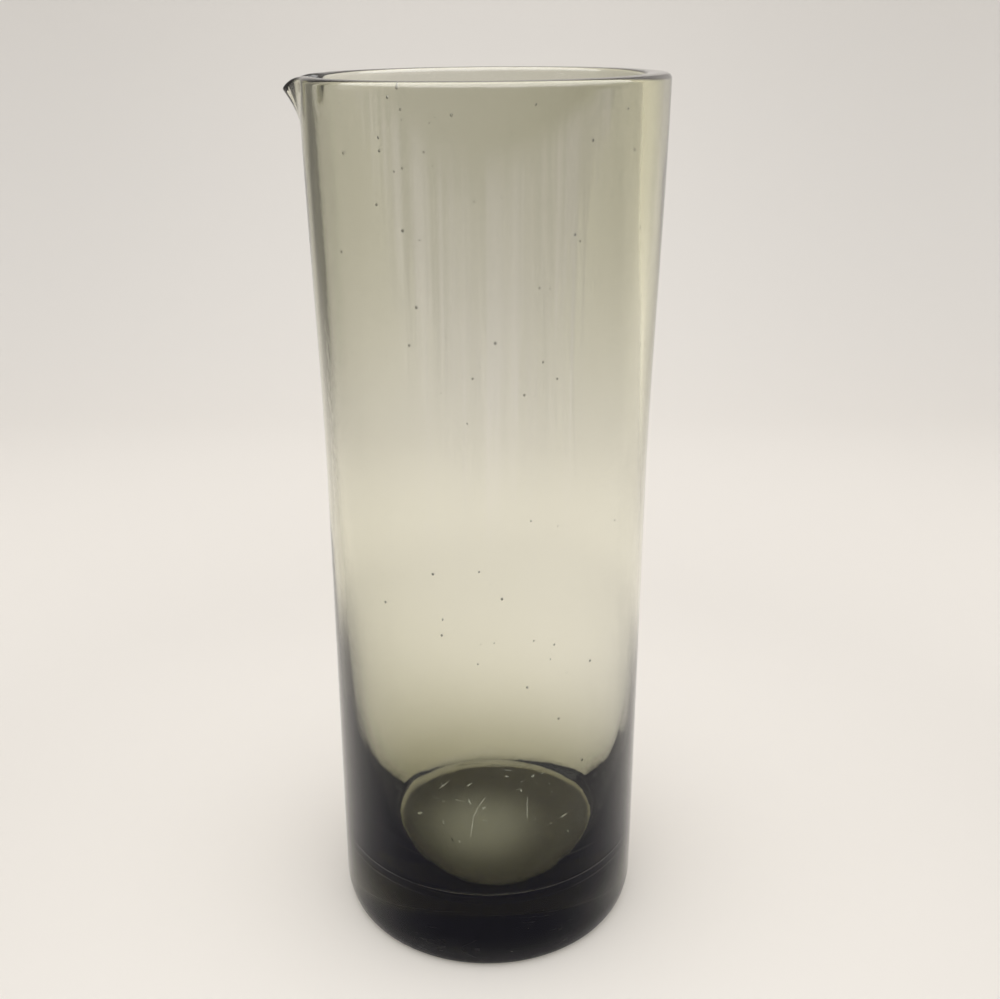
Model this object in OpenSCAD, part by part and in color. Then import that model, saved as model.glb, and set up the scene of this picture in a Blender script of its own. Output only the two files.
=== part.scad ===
// Cocktail pitcher: a tall mixing glass of smoked glass, blown in one piece.
// It has a heavy solid base, a cavity that leans a little inside the wall,
// a fire-rounded rim and a small pour lip pulled out of the rim towards -X.
// Millimetres, +Z up, origin in the middle of the flat underside.

/* [Body] */
// Height from the table to the top of the rim
body_height = 240; // [210:1:280]
// Outer radius just above the heel
foot_radius = 44.2; // [40:0.1:52]
// Outer radius at the waist, the slimmest place
waist_radius = 43.9; // [40:0.1:52]
// Height of the waist above the table
waist_height = 135; // [110:1:160]
// Outer radius at the rim
rim_radius = 45.6; // [42:0.1:54]
// How far the rounded heel draws the base in from the side
heel_reach = 3.1; // [1:0.1:8]
// How far the rounded heel climbs up the side
heel_rise = 7.7; // [2:0.1:14]

/* [Cavity] */
// Thickness of the solid glass under the cavity
floor_thickness = 16.3; // [12:0.1:34]
// Radius of the level floor of the cavity
floor_radius = 28.6; // [22:0.1:31]
// Radius of the rounded corner around the cavity floor
floor_fillet = 6.4; // [2:0.1:8]
// Slope of the cavity's side in degrees from upright, where it leaves the corner
side_slope = 20; // [8:0.5:30]
// Height above the table where the sloping side turns into the upright wall
bowl_height = 118; // [80:1:130]
// Thickness of the wall where it is thinnest, just above the bowl
thin_wall = 2; // [1.6:0.1:3.4]
// Thickness of the wall at the rim
rim_wall = 5; // [4:0.1:6.4]
// Height above the table where the wall reaches its full thickness
full_wall_height = 226; // [180:1:238]
// Lean of the cavity inside the body in degrees, away from the lip below
cavity_lean = 0.8; // [0:0.1:1.1]
// Height above the table where the leaning cavity is centred in the body
lean_height = 143; // [125:1:160]

/* [Rim] */
// Radius of the fire-rounded outer edge of the rim
rim_edge = 1.4; // [0.5:0.1:1.8]
// Radius of the fire-rounded inner edge of the rim
bore_edge = 1.1; // [0.5:0.1:1.6]
// How far the rim swells up between its two edges
rim_crown = 0.1; // [0:0.02:0.4]
// Height of the collar in which the wall flows out into the lip
collar_height = 13.4; // [10:0.1:20]

/* [Pour lip] */
// How far the tip of the lip stands out beyond the rim
lip_reach = 4.6; // [2:0.1:8]
// How far the tip of the lip is drawn down below the rim beside it
lip_dip = 2.9; // [0:0.1:4]
// Angle in degrees from the tip of the lip to either end of its curve
lip_half_angle = 20.6; // [15:0.1:50]
// Thickness of the glass at the tip of the lip
lip_wall = 2.9; // [2:0.1:4]
// How far the whole rim sags towards the lip
rim_sag = 0.8; // [0:0.05:1.5]

/* [Hidden] */

// Steps of the curves
heel_steps = 8;
side_steps = 24;
floor_steps = 8;
bowl_steps = 16;
wall_steps = 18;
round_sides = 96;
lip_steps = 10;
rest_steps = 84;
collar_rows = 5;
edge_steps = 4;
land_steps = 4;

// Shapes of the curves
side_spacing = 1.3;
lip_power = 2.8;
dip_power = 1.9;
flare_power = 1.35;

// The collar is a loft that sits in the top of the revolved body: its foot is
// a tongue inside the wall, and its skin starts a hair inside that of the body
skin_step = 0.05;
tongue_depth = 2;
tongue_inset = 0.6;
overrun = 1;

// Where the rounded corner of the cavity floor meets the sloping side, and the
// power of the curve that takes the slope from there to nothing at the bowl's top
corner_turn = 90 - side_slope;
corner_radius = floor_radius + floor_fillet * sin(corner_turn);
corner_height = floor_thickness + floor_fillet * (1 - cos(corner_turn));
bowl_radius = waist_radius + (foot_radius - waist_radius)
    * ease((waist_height - bowl_height) / waist_height) - thin_wall;
bowl_power = tan(side_slope) * (bowl_height - corner_height) / (bowl_radius - corner_radius);

collar_foot = body_height - collar_height;
lip_thinning = 1 - lip_wall / rim_wall;

// Eases from 0 to 1 with level ends, for shares outside that range too
function ease(share) = let (s = min(max(share, 0), 1)) s * s * (3 - 2 * s);

// Outer radius of the body at a height
function outer_radius(z) =
    z < waist_height
    ? waist_radius + (foot_radius - waist_radius) * ease((waist_height - z) / waist_height)
    : waist_radius + (rim_radius - waist_radius)
        * ease((z - waist_height) / (body_height - waist_height));

// Mean thickness of the upright wall at a height
function wall(z) =
    thin_wall + (rim_wall - thin_wall)
        * ease((z - bowl_height) / (full_wall_height - bowl_height));

// Radius of the upright wall of the cavity at a height
function wall_bore(z) = outer_radius(z) - wall(z);

// Radius of the sloping side of the cavity at a share of its climb
function side_radius(share) =
    bowl_radius - (bowl_radius - corner_radius) * pow(1 - share, bowl_power);

// Half profile of the solid body, from the middle of the underside up
function body_profile() = concat(
    [[0, 0]],
    [for (i = [0:heel_steps])
        let (turn = 90 * i / heel_steps)
        [outer_radius(heel_rise) - heel_reach * (1 - sin(turn)), heel_rise * (1 - cos(turn))]],
    [for (i = [1:side_steps])
        let (z = heel_rise + (collar_foot - heel_rise) * i / side_steps)
        [outer_radius(z), z]],
    [[0, collar_foot]]
);

// Half profile of the cavity, from the middle of its floor up
function cavity_profile() = concat(
    [[0, floor_thickness]],
    [for (i = [0:floor_steps])
        let (turn = corner_turn * i / floor_steps)
        [floor_radius + floor_fillet * sin(turn),
            floor_thickness + floor_fillet * (1 - cos(turn))]],
    [for (i = [1:bowl_steps])
        let (share = pow(i / bowl_steps, side_spacing))
        [side_radius(share), corner_height + (bowl_height - corner_height) * share]],
    [for (i = [1:wall_steps])
        let (z = bowl_height + (collar_foot + overrun - bowl_height) * i / wall_steps)
        [wall_bore(z), z]],
    [[0, collar_foot + overrun]]
);

// The revolved body up to the foot of the collar, with its leaning cavity
module body() {
    difference() {
        rotate_extrude($fn = round_sides) polygon(body_profile());
        translate([0, 0, lean_height])
            rotate([0, -cavity_lean, 0])
                translate([0, 0, -lean_height])
                    rotate_extrude($fn = round_sides) polygon(cavity_profile());
    }
}

// Thickness of the collar's wall at a height, turned by an angle from the lip:
// the cavity's circle is off the body's axis there, because the cavity leans
function collar_wall(z, turn) =
    let (off = (z - lean_height) * tan(cavity_lean))
    outer_radius(z) - off * cos(turn) - sqrt(pow(wall_bore(z), 2) - pow(off * sin(turn), 2));

// How much of the lip's pull acts at a height, from 0 at the collar's foot
function flare(z) = pow(max(z - collar_foot, 0) / collar_height, flare_power);

// How much of the lip's pull acts at an angle from its tip
function lip_share(turn) =
    let (side = abs(turn > 180 ? turn - 360 : turn))
    side < lip_half_angle ? pow((1 + cos(180 * side / lip_half_angle)) / 2, lip_power) : 0;

// How much of the rim's sag acts at an angle from the lip
function sag_share(turn) = (1 + cos(turn)) / 2;

// The angles of the collar's columns from the tip of the lip, closer in the lip
collar_turns = concat(
    [for (i = [-lip_steps:lip_steps - 1]) lip_half_angle * i / lip_steps],
    [for (i = [0:rest_steps - 1])
        lip_half_angle + (360 - 2 * lip_half_angle) * i / rest_steps]);

// One row of the collar is [height, fixed depth in the wall, share of the wall]
collar_outside = [for (i = [0:collar_rows])
    let (z = collar_foot + (collar_height - rim_edge) * i / collar_rows)
    [z, i == 0 ? skin_step : 0, 0]];
outer_edge = [for (i = [1:edge_steps])
    let (turn = 90 * i / edge_steps)
    [body_height - rim_edge * (1 - sin(turn)), rim_edge * (1 - cos(turn)), 0]];
rim_land = [for (i = [1:land_steps - 1])
    let (share = i / land_steps)
    [body_height + rim_crown * sin(180 * share),
        rim_edge - (rim_edge + bore_edge) * share, share]];
inner_edge = [for (i = [0:edge_steps])
    let (turn = 90 * i / edge_steps)
    [body_height - bore_edge * (1 - cos(turn)), -bore_edge * (1 - sin(turn)), 1]];
collar_inside = [for (i = [1:collar_rows])
    let (z = body_height - bore_edge - (collar_height - bore_edge) * i / collar_rows)
    [z, i == collar_rows ? -skin_step : 0, 1]];
tongue_inside = [[collar_foot - tongue_depth, -tongue_inset, 1]];
tongue_outside = [[collar_foot - tongue_depth, tongue_inset, 0]];
collar_section = concat(collar_outside, outer_edge, rim_land, inner_edge, collar_inside,
    tongue_inside, tongue_outside);

function collar_point(row, turn) =
    let (z = row[0],
         pull = lip_share(turn) * flare(z),
         depth = (row[1] + row[2] * collar_wall(z, turn)) * (1 - lip_thinning * pull),
         reach = outer_radius(z) + lip_reach * pull - depth,
         droop = lip_dip * pow(lip_share(turn), dip_power) + rim_sag * sag_share(turn),
         drop = droop * flare(z))
    [-reach * cos(turn), reach * sin(turn), z - drop];

// The rounded rim and its pour lip, lofted around the mouth from one section
module collar() {
    rows = len(collar_section);
    sides = len(collar_turns);
    points = [for (turn = collar_turns, row = collar_section) collar_point(row, turn)];
    faces = [for (side = [0:sides - 1], row = [0:rows - 1])
        let (a = side * rows + row,
             b = side * rows + (row + 1) % rows,
             c = ((side + 1) % sides) * rows + (row + 1) % rows,
             d = ((side + 1) % sides) * rows + row)
        each [[a, c, b], [a, d, c]]];
    polyhedron(points = points, faces = faces);
}

// The one piece of glass: body, cavity, rim and lip
module glass_vessel() {
    color([0.42, 0.41, 0.35]) {
        body();
        collar();
    }
}

glass_vessel();
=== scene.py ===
"""Looks of the smoked glass cocktail pitcher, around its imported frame. Metres, +Z up."""
import math
import random

import bmesh
import bpy
import numpy as np
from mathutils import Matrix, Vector


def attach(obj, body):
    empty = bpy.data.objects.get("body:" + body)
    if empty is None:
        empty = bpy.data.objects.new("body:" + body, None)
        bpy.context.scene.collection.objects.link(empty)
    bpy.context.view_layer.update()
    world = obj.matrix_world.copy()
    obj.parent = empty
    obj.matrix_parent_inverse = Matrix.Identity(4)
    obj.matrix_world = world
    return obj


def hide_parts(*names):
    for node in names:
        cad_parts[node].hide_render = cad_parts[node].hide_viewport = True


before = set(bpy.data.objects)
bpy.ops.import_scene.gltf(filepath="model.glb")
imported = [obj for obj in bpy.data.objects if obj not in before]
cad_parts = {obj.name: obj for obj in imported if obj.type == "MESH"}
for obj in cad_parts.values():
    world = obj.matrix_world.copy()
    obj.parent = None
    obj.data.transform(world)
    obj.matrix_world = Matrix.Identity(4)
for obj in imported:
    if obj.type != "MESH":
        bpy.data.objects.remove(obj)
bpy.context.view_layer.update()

MM = 0.001

# The pitcher's sizes in millimetres, as in the part's source
BODY_HEIGHT = 240.0
FOOT_RADIUS = 44.2
WAIST_RADIUS = 43.9
WAIST_HEIGHT = 135.0
RIM_RADIUS = 45.6
HEEL_REACH = 3.1
HEEL_RISE = 7.7
FLOOR_THICKNESS = 16.3
FLOOR_RADIUS = 28.6
FLOOR_FILLET = 6.4
SIDE_SLOPE = 20.0
BOWL_HEIGHT = 118.0
THIN_WALL = 2.0
RIM_WALL = 5.0
FULL_WALL_HEIGHT = 226.0
CAVITY_LEAN = math.radians(0.8)
LEAN_HEIGHT = 143.0
RIM_EDGE = 1.4
BORE_EDGE = 1.1
RIM_CROWN = 0.1
COLLAR_HEIGHT = 13.4
LIP_REACH = 4.6
LIP_DIP = 2.9
LIP_HALF_ANGLE = math.radians(20.6)
LIP_WALL = 2.9
RIM_SAG = 0.8
LIP_POWER = 2.8
DIP_POWER = 1.9
FLARE_POWER = 1.35
# The mesh is rounder than the facets of the solid, so it stays this far inside them
SKIN_FIT = 0.01

COLLAR_FOOT = BODY_HEIGHT - COLLAR_HEIGHT
# Columns of points in the lip and round the rest of the vessel
LIP_COLUMNS = 40
REST_COLUMNS = 200
SIDES = LIP_COLUMNS + REST_COLUMNS
# Steps of the rings of points along each stretch of the outline
UNDERSIDE_STEPS = 9
HEEL_STEPS = 18
BODY_STEPS = 76
MOULD_STEPS = 15
COLLAR_STEPS = 18
EDGE_STEPS = 11
LAND_STEPS = 16
WALL_STEPS = 70
BOWL_STEPS = 76
BOWL_SPACING = 1.3
CORNER_STEPS = 20
FLOOR_STEPS = 12

# The two mould lines round the base: height, how far they stand out, half width
MOULD_LINES = ((26.7, 0.10, 0.26), (23.85, 0.05, 0.22))
# Their rings of points reach this many half widths up and down
MOULD_SPREAD = 2.4
# The lines are worn away behind: their share is 1 within this part of the front
MOULD_FRONT = (0.30, 0.75)

# Optics of the glass: what a metre of it takes out of the light, and its index
GLASS_INDEX = 1.52
GLASS_DENSITY = 105.0
GLASS_TINT = (0.48, 0.47, 0.25)


def ease(share):
    """From 0 to 1 with level ends."""
    share = np.clip(share, 0.0, 1.0)
    return share * share * (3.0 - 2.0 * share)


def outer_radius(z):
    """Outer radius of the body at a height."""
    low = WAIST_RADIUS + (FOOT_RADIUS - WAIST_RADIUS) * ease((WAIST_HEIGHT - z) / WAIST_HEIGHT)
    high = WAIST_RADIUS + (RIM_RADIUS - WAIST_RADIUS) * ease(
        (z - WAIST_HEIGHT) / (BODY_HEIGHT - WAIST_HEIGHT))
    return float(low if z < WAIST_HEIGHT else high) - SKIN_FIT


def wall(z):
    """Mean thickness of the upright wall at a height."""
    return float(THIN_WALL + (RIM_WALL - THIN_WALL) * ease(
        (z - BOWL_HEIGHT) / (FULL_WALL_HEIGHT - BOWL_HEIGHT)))


def bore(z):
    """Radius of the upright wall of the cavity at a height."""
    return outer_radius(z) - wall(z)


CORNER_TURN = math.radians(90.0 - SIDE_SLOPE)
CORNER_RADIUS = FLOOR_RADIUS + FLOOR_FILLET * math.sin(CORNER_TURN)
CORNER_HEIGHT = FLOOR_THICKNESS + FLOOR_FILLET * (1.0 - math.cos(CORNER_TURN))
BOWL_RADIUS = bore(BOWL_HEIGHT)
BOWL_POWER = (math.tan(math.radians(SIDE_SLOPE)) * (BOWL_HEIGHT - CORNER_HEIGHT)
              / (BOWL_RADIUS - CORNER_RADIUS))


def bowl_side(share):
    """Radius of the cavity's sloping side at a share of its climb."""
    return BOWL_RADIUS - (BOWL_RADIUS - CORNER_RADIUS) * (1.0 - share) ** BOWL_POWER


# Turn of each column of points round the axis, from the tip of the lip at -X
TURN = np.concatenate([
    np.linspace(-LIP_HALF_ANGLE, LIP_HALF_ANGLE, LIP_COLUMNS, endpoint=False),
    np.linspace(LIP_HALF_ANGLE, 2.0 * np.pi - LIP_HALF_ANGLE, REST_COLUMNS, endpoint=False)])
COS, SIN = np.cos(TURN), np.sin(TURN)
SIDE_TURN = np.abs(np.where(TURN > np.pi, TURN - 2.0 * np.pi, TURN))
LIP_SHARE = np.where(SIDE_TURN < LIP_HALF_ANGLE,
                     ((1.0 + np.cos(np.pi * SIDE_TURN / LIP_HALF_ANGLE)) / 2.0) ** LIP_POWER, 0.0)
DIP_SHARE = LIP_SHARE ** DIP_POWER
SAG_SHARE = (1.0 + COS) / 2.0
FRONT_SHARE = ease((-SIN - MOULD_FRONT[0]) / (MOULD_FRONT[1] - MOULD_FRONT[0]))


def shift(z):
    """How far the leaning cavity's axis is off the body's axis, towards the lip."""
    return (z - LEAN_HEIGHT) * math.tan(CAVITY_LEAN)


def flare(z):
    """How much of the lip's pull acts at a height."""
    return (max(z - COLLAR_FOOT, 0.0) / COLLAR_HEIGHT) ** FLARE_POWER


def outside_row(radius, z):
    """A ring of points on the outside."""
    return np.stack([-radius * COS, radius * SIN, np.full(SIDES, float(z))], -1)


def collar_row(z, depth, share):
    """A ring of the collar: a fixed depth and a share of the wall in from its outside."""
    wide = (outer_radius(z) - shift(z) * COS
            - np.sqrt(bore(z) ** 2 - (shift(z) * SIN) ** 2))
    pull = LIP_SHARE * flare(z)
    inset = (depth + share * wide) * (1.0 - (1.0 - LIP_WALL / RIM_WALL) * pull)
    radius = outer_radius(z) + LIP_REACH * pull - inset
    drop = (LIP_DIP * DIP_SHARE + RIM_SAG * SAG_SHARE) * flare(z)
    return np.stack([-radius * COS, radius * SIN, z - drop], -1)


# Waves on the inside of the blown cavity: count round it, size, start
INSIDE_WAVES = ((5, 0.030, 0.4), (11, 0.016, 2.1), (17, 0.012, 4.0),
                (26, 0.007, 1.2), (37, 0.004, 5.3))
# How far the waves sway with the height, over which height, and how they fade in below the collar
WAVE_SWAY = 0.9
WAVE_LENGTH = 23.0
WAVE_FADE = 12.0
# Over this height above the bowl the rings of the cavity turn level
TIP_FADE = 60.0


def inside_wave(z):
    """Small unevenness of the cavity's side, a slow function of height and turn."""
    total = np.zeros(SIDES)
    for count, size, start in INSIDE_WAVES:
        total += size * np.cos(count * TURN + start + WAVE_SWAY * math.sin(z / WAVE_LENGTH + count))
    return total


def inside_row(radius, z, wavy=1.0):
    """A ring of the leaning cavity. It tips with the cavity, less and less above the bowl."""
    tip = math.tan(CAVITY_LEAN) * (1.0 - float(ease((z - BOWL_HEIGHT) / TIP_FADE)))
    radius = radius + wavy * inside_wave(z)
    across = -radius * COS
    return np.stack([across - shift(z), radius * SIN, z + tip * across], -1)


def vessel_rows():
    """Rings of points from the middle of the underside, up the outside and down the inside."""
    rows = []
    heel_start = outer_radius(HEEL_RISE) - HEEL_REACH
    for radius in np.linspace(0.0, heel_start, UNDERSIDE_STEPS)[1:]:
        rows.append(outside_row(radius, 0.0))
    for turn in np.linspace(0.0, np.pi / 2.0, HEEL_STEPS)[1:]:
        rows.append(outside_row(heel_start + HEEL_REACH * math.sin(turn),
                                HEEL_RISE * (1.0 - math.cos(turn))))
    lines = [height + step for height, _, half in MOULD_LINES
             for step in np.linspace(-MOULD_SPREAD * half, MOULD_SPREAD * half, MOULD_STEPS)]
    for z in sorted(set(np.round(np.concatenate(
            [np.linspace(HEEL_RISE, COLLAR_FOOT, BODY_STEPS)[1:], lines]), 4))):
        bead = sum(out * math.exp(-((z - height) / half) ** 2)
                   for height, out, half in MOULD_LINES)
        rows.append(outside_row(outer_radius(z) + bead * FRONT_SHARE, z))
    for z in np.linspace(COLLAR_FOOT, BODY_HEIGHT - RIM_EDGE, COLLAR_STEPS)[1:]:
        rows.append(collar_row(z, 0.0, 0.0))
    for turn in np.linspace(0.0, np.pi / 2.0, EDGE_STEPS)[1:]:
        rows.append(collar_row(BODY_HEIGHT - RIM_EDGE * (1.0 - math.sin(turn)),
                               RIM_EDGE * (1.0 - math.cos(turn)), 0.0))
    for share in np.linspace(0.0, 1.0, LAND_STEPS)[1:-1]:
        rows.append(collar_row(BODY_HEIGHT + RIM_CROWN * math.sin(math.pi * share),
                               RIM_EDGE - (RIM_EDGE + BORE_EDGE) * share, share))
    for turn in np.linspace(0.0, np.pi / 2.0, EDGE_STEPS):
        rows.append(collar_row(BODY_HEIGHT - BORE_EDGE * (1.0 - math.cos(turn)),
                               -BORE_EDGE * (1.0 - math.sin(turn)), 1.0))
    for z in np.linspace(BODY_HEIGHT - BORE_EDGE, COLLAR_FOOT, COLLAR_STEPS)[1:]:
        rows.append(collar_row(z, 0.0, 1.0))
    for z in np.linspace(COLLAR_FOOT, BOWL_HEIGHT, WALL_STEPS)[1:]:
        rows.append(inside_row(bore(z), z, float(ease((COLLAR_FOOT - z) / WAVE_FADE))))
    for step in np.linspace(1.0, 0.0, BOWL_STEPS)[1:]:
        share = step ** BOWL_SPACING
        rows.append(inside_row(bowl_side(share),
                               CORNER_HEIGHT + (BOWL_HEIGHT - CORNER_HEIGHT) * share))
    for turn in np.linspace(CORNER_TURN, 0.0, CORNER_STEPS)[1:]:
        rows.append(inside_row(FLOOR_RADIUS + FLOOR_FILLET * math.sin(turn),
                               FLOOR_THICKNESS + FLOOR_FILLET * (1.0 - math.cos(turn)),
                               turn / CORNER_TURN))
    for radius in np.linspace(FLOOR_RADIUS, 0.0, FLOOR_STEPS)[1:-1]:
        rows.append(inside_row(radius, FLOOR_THICKNESS, 0.0))
    return rows


def linked(name, data):
    """An object of this data, in the scene."""
    made = bpy.data.objects.new(name, data)
    bpy.context.scene.collection.objects.link(made)
    return made


def smooth_piece(name, work):
    """A smooth-shaded object from a working mesh."""
    for face in work.faces:
        face.smooth = True
    mesh = bpy.data.meshes.new(name)
    work.to_mesh(mesh)
    work.free()
    return linked(name, mesh)


def make_vessel():
    """The whole glass as one closed mesh."""
    rows = vessel_rows()
    bottom = np.array([[0.0, 0.0, 0.0]])
    floor = np.array([[-shift(FLOOR_THICKNESS), 0.0, FLOOR_THICKNESS]])
    points = np.concatenate([bottom] + rows + [floor]) * MM
    here = np.arange(SIDES)
    there = (here + 1) % SIDES
    faces = [(0, 1 + a, 1 + b) for a, b in zip(here.tolist(), there.tolist())]
    for row in range(len(rows) - 1):
        low = 1 + row * SIDES
        high = low + SIDES
        faces += np.stack([low + here, high + here, high + there, low + there], -1).tolist()
    last = 1 + (len(rows) - 1) * SIDES
    faces += [(last + a, len(points) - 1, last + b)
              for a, b in zip(here.tolist(), there.tolist())]
    mesh = bpy.data.meshes.new("pitcher_glass")
    mesh.from_pydata(points.tolist(), [], faces)
    work = bmesh.new()
    work.from_mesh(mesh)
    bmesh.ops.recalc_face_normals(work, faces=work.faces)
    bpy.data.meshes.remove(mesh)
    return smooth_piece("pitcher_glass", work)


def cavity_radius(z):
    """Radius of the cavity at a height, its rounded corner included."""
    if z < CORNER_HEIGHT:
        turn = math.acos(max(-1.0, 1.0 - (z - FLOOR_THICKNESS) / FLOOR_FILLET))
        return FLOOR_RADIUS + FLOOR_FILLET * math.sin(turn)
    if z < BOWL_HEIGHT:
        return bowl_side((z - CORNER_HEIGHT) / (BOWL_HEIGHT - CORNER_HEIGHT))
    return bore(z)


def place_in_wall(turn, z, share):
    """A point inside the wall: share 0 is at the outside, 1 at the cavity."""
    off = shift(z)
    inner = (math.sqrt(max(cavity_radius(z) ** 2 - (off * math.sin(turn)) ** 2, 0.0))
             + off * math.cos(turn))
    radius = outer_radius(z) + (inner - outer_radius(z)) * share
    return Vector((-radius * math.cos(turn), radius * math.sin(turn), z))


# The random draws of the seeds and of the marks
SEED_DRAW = 11
MARK_DRAW = 23
# The scattered seeds in the wall and in the base: how many, where, and their radii
WALL_SEED_COUNT = 300
WALL_SEED_HEIGHTS = (30.0, 236.0)
WALL_SEED_DEPTHS = (0.3, 0.7)
WALL_SEED_RADII = (0.09, 0.20)
BASE_SEED_COUNT = 64
BASE_SEED_REACH = 38.0
BASE_SEED_HEIGHTS = (2.0, FLOOR_THICKNESS - 1.0)
BASE_SEED_RADII = (0.08, 0.20)
SEED_STRETCH = 1.15
# The plain seeds of the wall: turn from the lip in degrees, height, radius before the scale
SEED_SCALE = 1.25
WALL_SEEDS = (
    (-61.4, 236.2, 0.24), (-64.5, 238.1, 0.22), (-80.5, 232.8, 0.26), (-57.8, 227.7, 0.22),
    (-58.0, 224.9, 0.24), (-56.1, 213.1, 0.24), (-64.8, 207.8, 0.26), (-62.7, 220.6, 0.18),
    (-65.4, 221.4, 0.18), (-39.8, 201.1, 0.24), (-68.5, 190.5, 0.26), (-65.7, 181.4, 0.24),
    (-92.7, 182.8, 0.26), (-27.7, 155.6, 0.24), (-72.2, 225.0, 0.18), (-122.8, 227.0, 0.24),
    (-104.3, 234.9, 0.20), (-136.6, 233.3, 0.22), (-117.5, 206.7, 0.24), (-119.3, 205.1, 0.20),
    (-167.9, 215.1, 0.32), (-71.7, 123.3, 0.26), (-94.8, 117.3, 0.26), (-87.3, 124.8, 0.20),
    (-128.3, 94.6, 0.26), (-103.6, 91.3, 0.24), (-115.4, 80.1, 0.24), (-74.4, 106.4, 0.24),
    (-52.7, 112.3, 0.26), (-125.9, 64.5, 0.30), (-140.6, 224.2, 0.24), (-146.3, 206.0, 0.22))
# Marks on the cavity's floor: place, half length, half width, turn in degrees
FLOOR_MARKS = (
    (-2.3, 4.6, 0.81, 0.48, 39), (4.9, 23.4, 0.67, 0.34, -1), (14.4, 23.3, 0.59, 0.34, 72),
    (17.8, 24.7, 0.58, 0.30, 28), (20.4, 13.1, 0.27, 0.22, -93), (-24.3, 0.6, 0.66, 0.42, 22),
    (-16.8, 8.2, 0.26, 0.26, -88), (-10.3, -13.5, 0.50, 0.26, -71), (19.6, -5.2, 0.22, 0.22, -1),
    (24.5, -1.5, 1.11, 0.26, 42), (25.9, -10.6, 0.48, 0.20, -94), (10.2, 14.8, 0.83, 0.22, -80),
    (-3.3, 7.8, 2.90, 0.13, -116), (-5.3, 2.4, 2.90, 0.13, -105), (-6.3, -5.6, 4.66, 0.16, -93),
    (-7.5, 8.1, 1.36, 0.20, -75), (-11.0, 8.9, 2.02, 0.12, -16), (-17.1, 17.9, 2.27, 0.14, 57),
    (-17.6, 17.9, 1.48, 0.12, -68), (-7.8, 18.3, 1.15, 0.18, 45), (12.1, 4.3, 4.90, 0.13, -90),
    (-16.5, -3.8, 1.01, 0.16, -79), (19.8, 18.2, 0.57, 0.14, -76), (5.7, 30.3, 5.07, 0.10, -1),
    (-7.6, 31.1, 4.36, 0.12, 15), (5.5, 27.1, 1.54, 0.14, -11))
MARK_HEIGHT = 0.05
MARK_SCALE = 1.3
# How uneven the outline of a mark is
MARK_RAGGED = 0.22
# The finest marks: how many, how far they keep from the floor's edge, and their half widths
FINE_MARK_COUNT = 70
FINE_MARK_EDGE = 1.0
FINE_MARK_WIDTHS = (0.05, 0.07)


def seed_list(rng):
    """Seeds, the small bubbles in the glass: [middle, radius, long axis, stretch]."""
    seeds = []
    for turn, z, size in WALL_SEEDS:
        seeds.append((place_in_wall(math.radians(turn), z, 0.5), SEED_SCALE * size,
                      Vector((0.0, 0.0, 1.0)), SEED_STRETCH))
    least, more = WALL_SEED_RADII
    for _ in range(WALL_SEED_COUNT):
        z = rng.uniform(*WALL_SEED_HEIGHTS)
        turn = rng.uniform(0.0, 2.0 * math.pi)
        size = least + more * rng.random() ** 4
        seeds.append((place_in_wall(turn, z, rng.uniform(*WALL_SEED_DEPTHS)), size,
                      Vector((0.0, 0.0, 1.0)), rng.choice((1.0, 1.0, SEED_STRETCH, 1.5))))
    least, more = BASE_SEED_RADII
    for _ in range(BASE_SEED_COUNT):
        radius = BASE_SEED_REACH * math.sqrt(rng.random())
        turn = rng.uniform(0.0, 2.0 * math.pi)
        z = rng.uniform(*BASE_SEED_HEIGHTS)
        size = least + more * rng.random() ** 3
        lie = rng.uniform(0.0, math.pi)
        seeds.append((Vector((radius * math.cos(turn), radius * math.sin(turn), z)), size,
                      Vector((math.cos(lie), math.sin(lie), rng.uniform(-0.2, 0.2))),
                      rng.choice((1.0, 1.0, 1.0, 1.3, 5.0))))
    return seeds


def make_seeds():
    """All seeds as one mesh of small closed ellipsoids inside the glass."""
    rng = random.Random(SEED_DRAW)
    work = bmesh.new()
    for middle, size, axis, stretch in seed_list(rng):
        made = bmesh.ops.create_icosphere(work, subdivisions=2, radius=size * MM)
        turn = axis.normalized().to_track_quat("Z", "Y")
        for vertex in made["verts"]:
            vertex.co.z *= stretch
            vertex.co = turn @ vertex.co + middle * MM
    return smooth_piece("glass_seeds", work)


def mark_list(rng):
    """The marks on the floor, the plain ones and the finest ones scattered round them."""
    marks = list(FLOOR_MARKS)
    least, more = FINE_MARK_WIDTHS
    for _ in range(FINE_MARK_COUNT):
        reach = (FLOOR_RADIUS - FINE_MARK_EDGE) * math.sqrt(rng.random())
        turn = rng.uniform(0.0, 2.0 * math.pi)
        size = least + more * rng.random() ** 2
        marks.append((reach * math.cos(turn), reach * math.sin(turn),
                      size * rng.choice((1.0, 1.0, 2.5, 7.0)), size, rng.uniform(0.0, 180.0)))
    return marks


def make_marks():
    """Frosted nicks and scratches, low lens shapes let into the cavity's floor."""
    rng = random.Random(MARK_DRAW)
    work = bmesh.new()
    for x, y, half_length, half_width, turn in mark_list(rng):
        made = bmesh.ops.create_icosphere(work, subdivisions=2, radius=MARK_SCALE)
        z = FLOOR_THICKNESS + math.tan(CAVITY_LEAN) * (x + shift(FLOOR_THICKNESS))
        lie = Vector((math.cos(math.radians(turn)), math.sin(math.radians(turn)), 0.0))
        across = Vector((-lie.y, lie.x, 0.0))
        for vertex in made["verts"]:
            ragged = 1.0 + rng.uniform(-MARK_RAGGED, MARK_RAGGED)
            flat = (lie * (vertex.co.x * half_length * ragged)
                    + across * (vertex.co.y * half_width * ragged))
            vertex.co = (Vector((x, y, z + MARK_HEIGHT * vertex.co.z)) + flat) * MM
    return smooth_piece("floor_marks", work)


# Bumps of the glass's skin: scale of the noise and its height in metres
LONG_WAVES = (95.0, 0.00003)
FINE_RIPPLE = (420.0, 0.000006)
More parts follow.
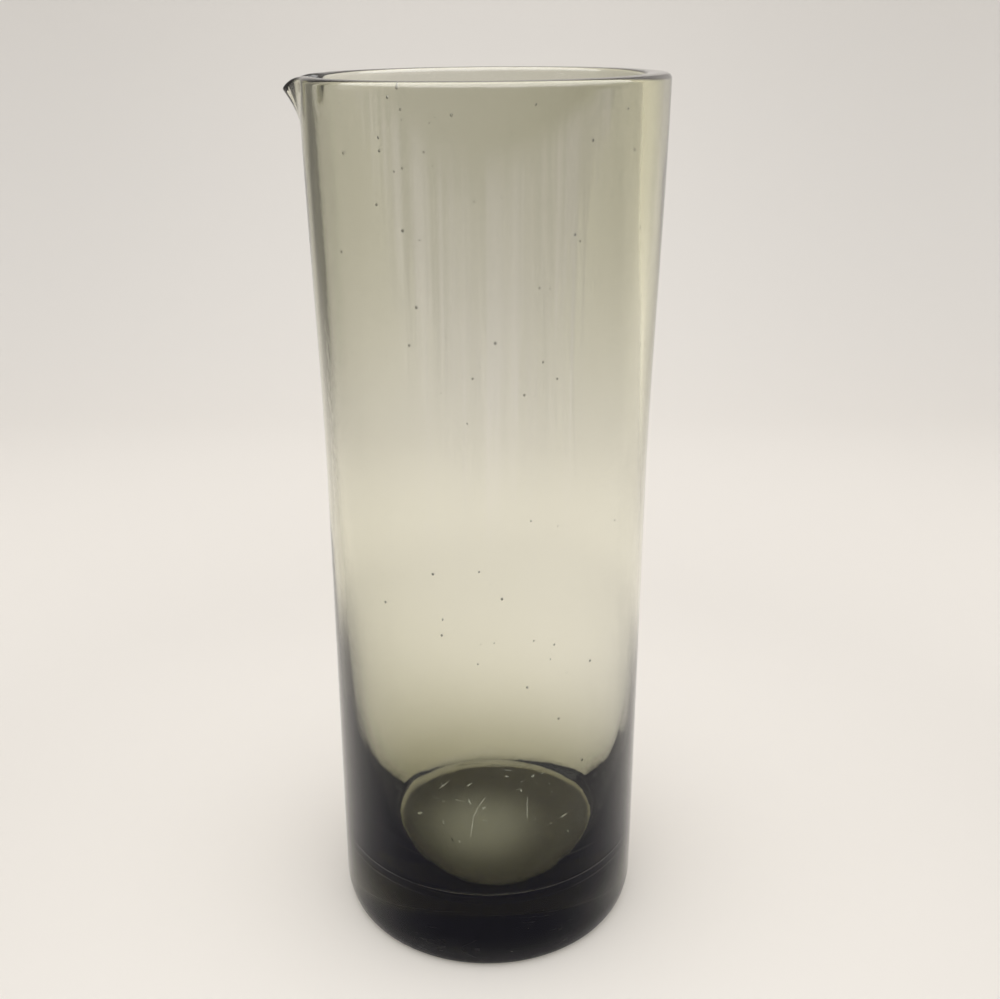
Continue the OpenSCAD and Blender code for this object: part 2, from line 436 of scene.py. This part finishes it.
# The long waves are drawn out up and down
WAVE_DRAW = (1.0, 1.0, 0.16)
# The frosted marks: scale of the grain, its two tones, its roughness and its bump
GRAIN_SCALE = 2400.0
GRAIN_TONES = ((0.62, 0.62, 0.56), (1.0, 1.0, 0.94))
GRAIN_ROUGHNESS = (0.45, 0.85)
GRAIN_STRENGTH = 0.6
GRAIN_HEIGHT = 0.00002


def new_material(name):
    """An empty node material with its output."""
    material = bpy.data.materials.new(name)
    material.use_nodes = True
    tree = material.node_tree
    tree.nodes.clear()
    return material, tree, tree.nodes.new("ShaderNodeOutputMaterial")


def clear_skin(tree, out, index):
    """A clear polished surface with this index."""
    skin = tree.nodes.new("ShaderNodeBsdfPrincipled")
    skin.inputs["Base Color"].default_value = (1.0, 1.0, 1.0, 1.0)
    skin.inputs["Roughness"].default_value = 0.0
    skin.inputs["IOR"].default_value = index
    skin.inputs["Transmission Weight"].default_value = 1.0
    tree.links.new(skin.outputs["BSDF"], out.inputs["Surface"])
    return skin


def noise_at(tree, place, scale, detail):
    """A noise over places."""
    noise = tree.nodes.new("ShaderNodeTexNoise")
    noise.inputs["Scale"].default_value = scale
    noise.inputs["Detail"].default_value = detail
    tree.links.new(place, noise.inputs["Vector"])
    return noise.outputs["Fac"]


def bump_node(tree, value, strength, height):
    """A bump of a height in metres."""
    bump = tree.nodes.new("ShaderNodeBump")
    bump.inputs["Strength"].default_value = strength
    bump.inputs["Distance"].default_value = height
    tree.links.new(value, bump.inputs["Height"])
    return bump


def glass_material():
    """Clear smoked glass: a fire-polished skin with faint waves, and a tint by depth."""
    material, tree, out = new_material("smoked_glass_look")
    skin = clear_skin(tree, out, GLASS_INDEX)
    depth = tree.nodes.new("ShaderNodeVolumeAbsorption")
    depth.inputs["Color"].default_value = (*GLASS_TINT, 1.0)
    depth.inputs["Density"].default_value = GLASS_DENSITY
    tree.links.new(depth.outputs["Volume"], out.inputs["Volume"])
    where = tree.nodes.new("ShaderNodeTexCoord")
    drawn = tree.nodes.new("ShaderNodeMapping")
    drawn.inputs["Scale"].default_value = WAVE_DRAW
    tree.links.new(where.outputs["Object"], drawn.inputs["Vector"])
    waves = noise_at(tree, drawn.outputs["Vector"], LONG_WAVES[0], 1.0)
    ripple = noise_at(tree, where.outputs["Object"], FINE_RIPPLE[0], 1.0)
    wave_bump = bump_node(tree, waves, 1.0, LONG_WAVES[1])
    ripple_bump = bump_node(tree, ripple, 1.0, FINE_RIPPLE[1])
    tree.links.new(wave_bump.outputs["Normal"], ripple_bump.inputs["Normal"])
    tree.links.new(ripple_bump.outputs["Normal"], skin.inputs["Normal"])
    return material


def seed_material():
    """Air in the glass: the index of air against that of the glass round it."""
    material, tree, out = new_material("seed_air")
    clear_skin(tree, out, 1.0 / GLASS_INDEX)
    return material


def mark_material():
    """Frosted glass: pale, rough, and uneven in brightness."""
    material, tree, out = new_material("frosted_nick")
    skin = tree.nodes.new("ShaderNodeBsdfPrincipled")
    where = tree.nodes.new("ShaderNodeTexCoord")
    grain = noise_at(tree, where.outputs["Object"], GRAIN_SCALE, 3.0)
    tone = mix_colour(tree, grain, *GRAIN_TONES)
    rough = tree.nodes.new("ShaderNodeMapRange")
    rough.inputs["To Min"].default_value = GRAIN_ROUGHNESS[0]
    rough.inputs["To Max"].default_value = GRAIN_ROUGHNESS[1]
    tree.links.new(grain, rough.inputs["Value"])
    bump = bump_node(tree, grain, GRAIN_STRENGTH, GRAIN_HEIGHT)
    tree.links.new(tone, skin.inputs["Base Color"])
    tree.links.new(rough.outputs["Result"], skin.inputs["Roughness"])
    tree.links.new(bump.outputs["Normal"], skin.inputs["Normal"])
    tree.links.new(skin.outputs["BSDF"], out.inputs["Surface"])
    return material


# The stage: a pale table that sweeps up behind, all in one sheet
TABLE_COLOUR = (0.868, 0.834, 0.792)
# The top of the backdrop: painted shade, greyer than the table
TOP_SHADE_COLOUR = (0.63, 0.61, 0.585)
SWEEP_START = 0.46
SWEEP_RADIUS = 0.35
SWEEP_TOP = 1.6
SWEEP_HALF = 5.0
SWEEP_STEPS = 25
# The level part of the sheet, from its front edge back
TABLE_STEPS = (-5.0, -0.8, -0.2, SWEEP_START)
# The sheet lies a hair below the glass, so that the two surfaces stay apart
TABLE_GAP = 0.00008


def make_sweep():
    """The table and the backdrop."""
    outline = [(y, 0.0) for y in TABLE_STEPS]
    for turn in np.linspace(0.0, np.pi / 2.0, SWEEP_STEPS)[1:]:
        outline.append((SWEEP_START + SWEEP_RADIUS * math.sin(turn),
                        SWEEP_RADIUS * (1.0 - math.cos(turn))))
    outline.append((SWEEP_START + SWEEP_RADIUS, SWEEP_TOP))
    points, faces = [], []
    for step, (y, z) in enumerate(outline):
        points += [(-SWEEP_HALF, y, z - TABLE_GAP), (SWEEP_HALF, y, z - TABLE_GAP)]
        if step:
            faces.append((2 * step - 2, 2 * step - 1, 2 * step + 1, 2 * step))
    mesh = bpy.data.meshes.new("studio_sweep")
    mesh.from_pydata(points, [], faces)
    for face in mesh.polygons:
        face.use_smooth = True
    return linked("studio_sweep", mesh)


def math_node(tree, operation, first, second=None):
    """A Math node on two sockets or numbers."""
    node = tree.nodes.new("ShaderNodeMath")
    node.operation = operation
    for slot, value in enumerate((first, second)):
        if isinstance(value, (int, float)):
            node.inputs[slot].default_value = value
        elif value is not None:
            tree.links.new(value, node.inputs[slot])
    return node.outputs[0]


def product(tree, *values):
    """The product of sockets and numbers."""
    total = values[0]
    for value in values[1:]:
        total = math_node(tree, "MULTIPLY", total, value)
    return total


def length_node(tree, x, y):
    """The length of a flat step."""
    square = math_node(tree, "ADD", product(tree, x, x), product(tree, y, y))
    return math_node(tree, "SQRT", square)


def ramp_node(tree, value, start, end):
    """From 0 to 1 with soft ends while a value goes from start to end."""
    node = tree.nodes.new("ShaderNodeMapRange")
    node.interpolation_type = "SMOOTHSTEP"
    node.inputs["From Min"].default_value = min(start, end)
    node.inputs["From Max"].default_value = max(start, end)
    node.inputs["To Min"].default_value = 0.0 if start < end else 1.0
    node.inputs["To Max"].default_value = 1.0 if start < end else 0.0
    tree.links.new(value, node.inputs["Value"])
    return node.outputs["Result"]


def mix_colour(tree, share, first, second, blend="MIX"):
    """A colour between two, each a socket or a plain colour."""
    node = tree.nodes.new("ShaderNodeMix")
    node.data_type = "RGBA"
    node.blend_type = blend
    for slot, value in (("Factor", share), ("A", first), ("B", second)):
        if isinstance(value, tuple):
            node.inputs[slot].default_value = (*value, 1.0)
        elif isinstance(value, float):
            node.inputs[slot].default_value = value
        else:
            tree.links.new(value, node.inputs[slot])
    return node.outputs["Result"]


# What the glass mirrors: a dim room before the table, with upright bands of light in it
BAND_DETAIL = 3.0
BAND_ROUGHNESS = 0.6
ROOM_DARK = (0.10, 0.10, 0.10)
ROOM_LIGHT = (1.58, 1.46, 1.74)
BAND_SCALE = 5.0
BAND_RAMP = (0.42, 0.60)
BAND_SHARE = 0.50
# The room is dim on the left and light on the right, over this turn
ROOM_TURN = (-1.3, 1.3)


def front_turn(tree, x, y):
    """The turn of a place or direction from straight before the pitcher."""
    return math_node(tree, "ARCTAN2", x, math_node(tree, "MULTIPLY", y, -1.0))


def turn_noise(tree, across, scale):
    """A noise in upright bands, a function of the turn alone."""
    bands = tree.nodes.new("ShaderNodeTexNoise")
    bands.noise_dimensions = "1D"
    bands.inputs["Scale"].default_value = scale
    bands.inputs["Detail"].default_value = BAND_DETAIL
    bands.inputs["Roughness"].default_value = BAND_ROUGHNESS
    tree.links.new(across, bands.inputs["W"])
    return bands.outputs["Fac"]


def room_bands(tree, x, y):
    """The room's colour in a direction, a function of its turn alone."""
    across = front_turn(tree, x, y)
    band = product(tree, ramp_node(tree, turn_noise(tree, across, BAND_SCALE), *BAND_RAMP),
                   BAND_SHARE)
    side = product(tree, ramp_node(tree, across, *ROOM_TURN), 1.0 - BAND_SHARE)
    return mix_colour(tree, math_node(tree, "ADD", band, side), ROOM_DARK, ROOM_LIGHT)


# Painted shade: the backdrop greys from the table's colour over this way back and up, by these two
# shares
GREY_BACK = (0.18, 0.76)
GREY_BACK_SHARE = 0.8
GREY_UP = (0.0, 0.30)
GREY_UP_SHARE = 0.2
# Painted light: the table's colour is paler close round the base, where the glass shades it
EVEN_LIGHT_GAIN = 0.14
EVEN_LIGHT_REACH = (0.06, 0.23)
# Painted light: through the glass, the table behind is lighter and warmer, by what the bowl gathers
BEHIND_LIGHT = (1.14, 1.14, 1.09)
BEHIND_REACH = (0.60, 0.14)
# Painted shade: before the pitcher, where nothing in the scene shades it, the table is a little
# darker
FRONT_SHADE = 0.03
FRONT_BACK = (0.15, 0.02)
# Painted light: the backdrop is a little lighter behind the glass
GLOW_GAIN = 0.09
GLOW_REACH = (0.42, 0.04)
GLOW_BACK = (0.15, 0.45)
# Mirrored in the glass, the table just before it is dim, and the room starts beyond its edge
NEAR_COLOUR = (0.21, 0.205, 0.27)
NEAR_FACING = (-0.60, 0.95)
FRONT_FACING = (0.15, 0.95)
BESIDE_REACH = (0.046, 0.066)
NEAR_REACH = (0.24, 0.15)
# The heel still mirrors some of the paler table right at its foot
FOOT_GLOW = 0.35
FOOT_NEAR = (0.046, 0.058)
# Mirrored, the stage is dimmer far on the left and lighter far on the right
SIDE_REACH = (0.3, 0.7)
LEFT_FALL = 0.60
RIGHT_GAIN = 0.80
# Mirrored inside the wall, the table close to the base is dark, in the base's own shadow
SHADOW_REACH = (0.24, 0.15)
SHADOW_SHARE = 0.92
# The room's edge is drawn out in points: the higher a narrow noise, the nearer the room comes,
# but never close to the base
ROOM_FROM = (-0.30, -0.85)
POINT_SCALE = 14.0
POINT_GAIN = 0.42
POINT_RAMP = (0.60, 0.70)
POINT_REACH = (-0.17, -0.34)
ROOM_FADE = (-1.2, -2.2)
ROOM_FAR = (0.16, 0.15, 0.15)
# Seen through the glass, the backdrop has a darker card on the left and a paler strip either side
CARD_FROM = (0.15, 0.30)
CARD_TURN = (0.62, 0.66, 0.78, 0.82)
CARD_SHOWN = 0.82
STRIP_TURN = (0.36, 0.44, 0.56, 0.60)
STRIP_GAIN = 0.06
# The spot of light that the base gathers on the table under the cavity
SPOT_PLACE = (-0.004, 0.004)
SPOT_REACH = (0.027, 0.004)
SPOT_LIGHT = (0.37, 0.375, 0.42)


def ray_shares(tree):
    """Shares for a ray that the glass mirrored, that went through glass, that did not go
    through it, and that the camera sees directly or through glass. None is for light that
    falls on a matt surface.
    """
    path = tree.nodes.new("ShaderNodeLightPath")
    matt = math_node(tree, "MINIMUM", path.outputs["Diffuse Depth"], 1.0)
    straight = math_node(tree, "SUBTRACT", 1.0, matt)
    mirrored, through = (
        product(tree, math_node(tree, "MINIMUM", path.outputs[depth], 1.0), straight)
        for depth in ("Glossy Depth", "Transmission Depth"))
    direct = math_node(tree, "SUBTRACT", 1.0, through)
    return mirrored, through, direct, math_node(tree, "SUBTRACT", straight, mirrored)


def window_node(tree, value, steps):
    """1 between the two middle steps and 0 outside the outer ones."""
    return product(tree, ramp_node(tree, value, steps[0], steps[1]),
                   ramp_node(tree, value, steps[3], steps[2]))


def sweep_material():
    """Matt pale paper that greys up the backdrop in painted shade, with painted light and shade
    round the glass, and with what the glass mirrors and gathers.
    """
    material, tree, out = new_material("pale_paper")
    place = tree.nodes.new("ShaderNodeNewGeometry")
    split = tree.nodes.new("ShaderNodeSeparateXYZ")
    tree.links.new(place.outputs["Position"], split.inputs[0])
    x, y, z = (split.outputs[axis] for axis in "XYZ")
    mirrored, through, direct, _ = ray_shares(tree)
    reach = length_node(tree, x, y)

    # Painted shade: darker back and up the backdrop
    backdrop_shade = math_node(tree, "ADD", product(tree, ramp_node(tree, y, *GREY_BACK), GREY_BACK_SHARE),
                     product(tree, ramp_node(tree, z, *GREY_UP), GREY_UP_SHARE))
    colour = mix_colour(tree, backdrop_shade, TABLE_COLOUR, TOP_SHADE_COLOUR)
    # Painted light: paler close round the base
    even = product(tree, ramp_node(tree, reach, EVEN_LIGHT_REACH[1], EVEN_LIGHT_REACH[0]), EVEN_LIGHT_GAIN)
    # Painted light: lighter on the backdrop behind the glass
    glow = product(tree, ramp_node(tree, math_node(tree, "ABSOLUTE", x), *GLOW_REACH),
                   ramp_node(tree, y, *GLOW_BACK), GLOW_GAIN)
    # Painted shade: a little darker before the pitcher
    front = math_node(tree, "SUBTRACT", 1.0,
                      product(tree, ramp_node(tree, y, *FRONT_BACK), FRONT_SHADE))
    level = math_node(tree, "ADD", math_node(tree, "ADD", even, glow), front)
    # Painted light: the table seen through the glass is lighter and warmer
    behind = product(tree, through, ramp_node(tree, reach, *BEHIND_REACH))
    tint = mix_colour(tree, behind, (1.0, 1.0, 1.0), BEHIND_LIGHT)
    colour = mix_colour(tree, 1.0, colour, tint, "MULTIPLY")

    to_left = math_node(tree, "MULTIPLY", x, -1.0)
    left = math_node(tree, "ARCTAN2", to_left, y)
    turn = math_node(tree, "ABSOLUTE", left)
    far = ramp_node(tree, reach, *CARD_FROM)
    card = product(tree, window_node(tree, left, CARD_TURN), far, through, 1.0 - CARD_SHOWN)
    strip = product(tree, window_node(tree, turn, STRIP_TURN), far, through, STRIP_GAIN)
    right = product(tree, mirrored, ramp_node(tree, x, *SIDE_REACH), RIGHT_GAIN)
    dim = product(tree, mirrored, ramp_node(tree, to_left, *SIDE_REACH), LEFT_FALL)
    level = product(tree, level, math_node(tree, "ADD", 1.0, right),
                    math_node(tree, "SUBTRACT", 1.0, dim))
    shadow = product(tree, mirrored, through, ramp_node(tree, reach, *SHADOW_REACH), SHADOW_SHARE)
    level = product(tree, level, math_node(tree, "SUBTRACT", 1.0, card),
                    math_node(tree, "ADD", 1.0, strip), math_node(tree, "SUBTRACT", 1.0, shadow))
    shade = tree.nodes.new("ShaderNodeCombineColor")
    for channel in range(3):
        tree.links.new(level, shade.inputs[channel])
    colour = mix_colour(tree, 1.0, colour, shade.outputs["Color"], "MULTIPLY")

    facing = math_node(tree, "DIVIDE", math_node(tree, "MULTIPLY", y, -1.0), reach)
    beside = product(tree, ramp_node(tree, facing, *NEAR_FACING),
                     ramp_node(tree, reach, *BESIDE_REACH))
    beside = math_node(tree, "MAXIMUM", beside, ramp_node(tree, facing, *FRONT_FACING))
    heel = product(tree, ramp_node(tree, reach, FOOT_NEAR[1], FOOT_NEAR[0]), FOOT_GLOW)
    near = product(tree, mirrored, direct, beside, ramp_node(tree, reach, *NEAR_REACH),
                   math_node(tree, "SUBTRACT", 1.0, heel))
    colour = mix_colour(tree, near, colour, NEAR_COLOUR)

    off = length_node(tree, math_node(tree, "SUBTRACT", x, SPOT_PLACE[0]),
                      math_node(tree, "SUBTRACT", y, SPOT_PLACE[1]))
    spot = ramp_node(tree, off, *SPOT_REACH)

    paper = tree.nodes.new("ShaderNodeBsdfPrincipled")
    paper.inputs["Roughness"].default_value = 1.0
    paper.inputs["Specular IOR Level"].default_value = 0.0
    paper.inputs["Emission Color"].default_value = (*SPOT_LIGHT, 1.0)
    tree.links.new(colour, paper.inputs["Base Color"])
    tree.links.new(spot, paper.inputs["Emission Strength"])
    room = tree.nodes.new("ShaderNodeEmission")
    bands = mix_colour(tree, ramp_node(tree, y, *ROOM_FADE), room_bands(tree, x, y), ROOM_FAR)
    tree.links.new(bands, room.inputs["Color"])
    seen = tree.nodes.new("ShaderNodeMixShader")
    points = math_node(tree, "ADD", turn_noise(tree, front_turn(tree, x, y), POINT_SCALE),
                       product(tree, ramp_node(tree, y, *ROOM_FROM), POINT_GAIN))
    shown = product(tree, mirrored, ramp_node(tree, points, *POINT_RAMP),
                    ramp_node(tree, y, *POINT_REACH))
    tree.links.new(shown, seen.inputs[0])
    tree.links.new(paper.outputs["BSDF"], seen.inputs[1])
    tree.links.new(room.outputs["Emission"], seen.inputs[2])
    tree.links.new(seen.outputs["Shader"], out.inputs["Surface"])
    return material


# The light: an even pale dome, with a dim room and a bright top that only the glass mirrors
DOME_LEVEL = 1.15
DOME_COLOUR = (1.0, 0.99, 0.975)
# The mirrored room reaches up and back this far, and its bands start over this rise
ROOM_RISE = (0.30, 0.60)
ROOM_SIDE = (-0.45, 0.05)
FAR_RISE = (-0.02, 0.16)
# Beyond the stage the camera sees the same pale backdrop
SHOWN_RISE = (-0.04, 0.34)
SHOWN_LOW = (0.837, 0.796, 0.745)
SHOWN_HIGH = (0.575, 0.555, 0.525)
# The mirrored dome is brighter at its top
TOP_RISE = (0.20, 0.60)
TOP_GAIN = 3.5


def make_world():
    """An even dome. In reflections it is a dim room before the table and a brighter top."""
    world = bpy.data.worlds.new("studio")
    bpy.context.scene.world = world
    world.use_nodes = True
    tree = world.node_tree
    tree.nodes.clear()
    out = tree.nodes.new("ShaderNodeOutputWorld")
    light = tree.nodes.new("ShaderNodeBackground")
    where = tree.nodes.new("ShaderNodeTexCoord")
    split = tree.nodes.new("ShaderNodeSeparateXYZ")
    tree.links.new(where.outputs["Generated"], split.inputs[0])
    x, y, z = (split.outputs[axis] for axis in "XYZ")
    mirrored, _, direct, shown = ray_shares(tree)
    in_room = product(tree, mirrored, ramp_node(tree, z, ROOM_RISE[1], ROOM_RISE[0]),
                      ramp_node(tree, y, ROOM_SIDE[1], ROOM_SIDE[0]))
    bands = mix_colour(tree, ramp_node(tree, z, *FAR_RISE), ROOM_FAR, room_bands(tree, x, y))
    colour = mix_colour(tree, in_room, DOME_COLOUR, bands)
    backdrop = mix_colour(tree, ramp_node(tree, z, *SHOWN_RISE), SHOWN_LOW, SHOWN_HIGH)
    colour = mix_colour(tree, shown, colour, backdrop)
    top = product(tree, mirrored, direct, ramp_node(tree, z, *TOP_RISE), TOP_GAIN)
    tree.links.new(colour, light.inputs["Color"])
    level = product(tree, math_node(tree, "ADD", top, 1.0), DOME_LEVEL)
    tree.links.new(level, light.inputs["Strength"])
    tree.links.new(light.outputs["Background"], out.inputs["Surface"])


# The camera, from the outlines in the photograph
CAMERA_PLACE = (0.0, -0.3124, 0.25163)
CAMERA_PITCH = math.radians(21.77)
CAMERA_YAW = math.radians(0.67)
CAMERA_SENSOR = 36.0
CAMERA_LENS = 43.2


def make_camera():
    """The photograph's view."""
    data = bpy.data.cameras.new("view")
    data.sensor_fit = "HORIZONTAL"
    data.sensor_width = CAMERA_SENSOR
    data.lens = CAMERA_LENS
    camera = linked("view", data)
    camera.location = CAMERA_PLACE
    ahead = Vector((math.sin(CAMERA_YAW) * math.cos(CAMERA_PITCH),
                    math.cos(CAMERA_YAW) * math.cos(CAMERA_PITCH),
                    -math.sin(CAMERA_PITCH)))
    camera.rotation_euler = ahead.to_track_quat("-Z", "Y").to_euler()
    bpy.context.scene.camera = camera


vessel = make_vessel()
vessel.data.materials.append(glass_material())
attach(vessel, "root")
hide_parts("glass_vessel")

seeds = make_seeds()
seeds.data.materials.append(seed_material())
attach(seeds, "root")

marks = make_marks()
marks.data.materials.append(mark_material())
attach(marks, "root")

sweep = make_sweep()
sweep.data.materials.append(sweep_material())
make_world()
make_camera()
bpy.context.scene.view_settings.view_transform = "Standard"
